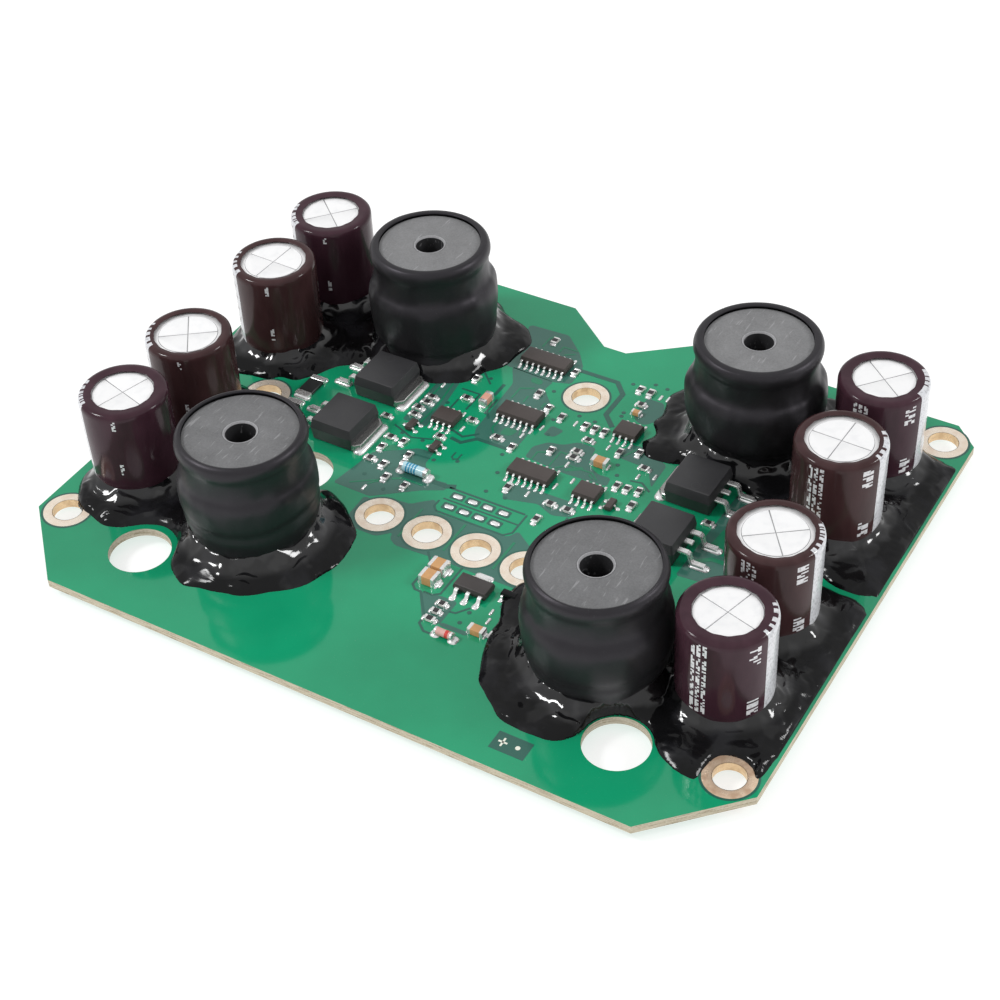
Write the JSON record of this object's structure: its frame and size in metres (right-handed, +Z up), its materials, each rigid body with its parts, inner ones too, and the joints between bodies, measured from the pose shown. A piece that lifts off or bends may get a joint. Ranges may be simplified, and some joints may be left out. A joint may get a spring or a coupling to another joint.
{
  "type": "power converter circuit board",
  "caption": "Bare green power converter board with wound chokes in black sleeves, can capacitors, tab transistors, control chips, plated screw holes and black potting.",
  "frame": {"origin": "middle of the board's outline, at the height of the cut ends of the leads below it, which the assembly stands on", "axes": "+X along the front edge of the board, +Y towards the notched back edge, +Z up out of the component side"},
  "size_m": [0.1424, 0.112, 0.0267],
  "materials": {
    "solder_mask": "satin green solder mask over glass-fibre laminate, with bare laminate edges",
    "can_metal": "bright drawn aluminium can",
    "bung_rubber": "black rubber bung",
    "capacitor_sleeve": "glossy dark purple-brown shrink film with a pale stripe",
    "ferrite": "dry matt grey sintered ferrite",
    "coil_copper": "enamelled copper wire, wound close",
    "heat_shrink": "satin black heat-shrink tube",
    "transistor_moulding": "satin charcoal moulding compound",
    "tinned_metal": "bright tinned copper",
    "chip_moulding": "matt warm dark grey moulding compound",
    "potting": "glossy black potting compound, set with a wavy surface",
    "tan_ceramic": "tan glazed ceramic with silver ends",
    "shunt_coating": "matt black coating with tinned ends",
    "resistor_ceramic": "pale lacquer with light blue bands and tinned end caps"
  },
  "bodies": {
    "root": {"capacitor_left_1_can": "can_metal", "capacitor_left_1_header": "bung_rubber", "capacitor_left_1_sleeve": "capacitor_sleeve", "capacitor_left_2_can": "can_metal", "capacitor_left_2_header": "bung_rubber", "capacitor_left_2_sleeve": "capacitor_sleeve", "capacitor_left_3_can": "can_metal", "capacitor_left_3_header": "bung_rubber", "capacitor_left_3_sleeve": "capacitor_sleeve", "capacitor_left_4_can": "can_metal", "capacitor_left_4_header": "bung_rubber", "capacitor_left_4_sleeve": "capacitor_sleeve", "capacitor_right_1_can": "can_metal", "capacitor_right_1_header": "bung_rubber", "capacitor_right_1_sleeve": "capacitor_sleeve", "capacitor_right_2_can": "can_metal", "capacitor_right_2_header": "bung_rubber", "capacitor_right_2_sleeve": "capacitor_sleeve", "capacitor_right_3_can": "can_metal", "capacitor_right_3_header": "bung_rubber", "capacitor_right_3_sleeve": "capacitor_sleeve", "capacitor_right_4_can": "can_metal", "capacitor_right_4_header": "bung_rubber", "capacitor_right_4_sleeve": "capacitor_sleeve", "choke_back_left_core": "ferrite", "choke_back_left_sleeve": "heat_shrink", "choke_back_left_winding": "coil_copper", "choke_back_right_core": "ferrite", "choke_back_right_sleeve": "heat_shrink", "choke_back_right_winding": "coil_copper", "choke_front_left_core": "ferrite", "choke_front_left_sleeve": "heat_shrink", "choke_front_left_winding": "coil_copper", "choke_front_right_core": "ferrite", "choke_front_right_sleeve": "heat_shrink", "choke_front_right_winding": "coil_copper", "circuit_board": "solder_mask", "current_shunt": "shunt_coating", "driver_chip_back": "chip_moulding", "driver_chip_front": "chip_moulding", "driver_chip_middle": "chip_moulding", "filter_capacitor": "tan_ceramic", "potting_back_left": "potting", "potting_back_right": "potting", "potting_front_left": "potting", "potting_front_middle": "potting", "potting_front_right": "potting", "regulator": "chip_moulding", "round_resistor": "resistor_ceramic", "sense_chip_back": "chip_moulding", "sense_chip_front": "chip_moulding", "sense_chip_left": "chip_moulding", "transistor_left_back_case": "transistor_moulding", "transistor_left_back_tab": "tinned_metal", "transistor_left_front_case": "transistor_moulding", "transistor_left_front_tab": "tinned_metal", "transistor_right_back_case": "transistor_moulding", "transistor_right_back_tab": "tinned_metal", "transistor_right_front_case": "transistor_moulding", "transistor_right_front_tab": "tinned_metal"}
  },
  "joints": []
}
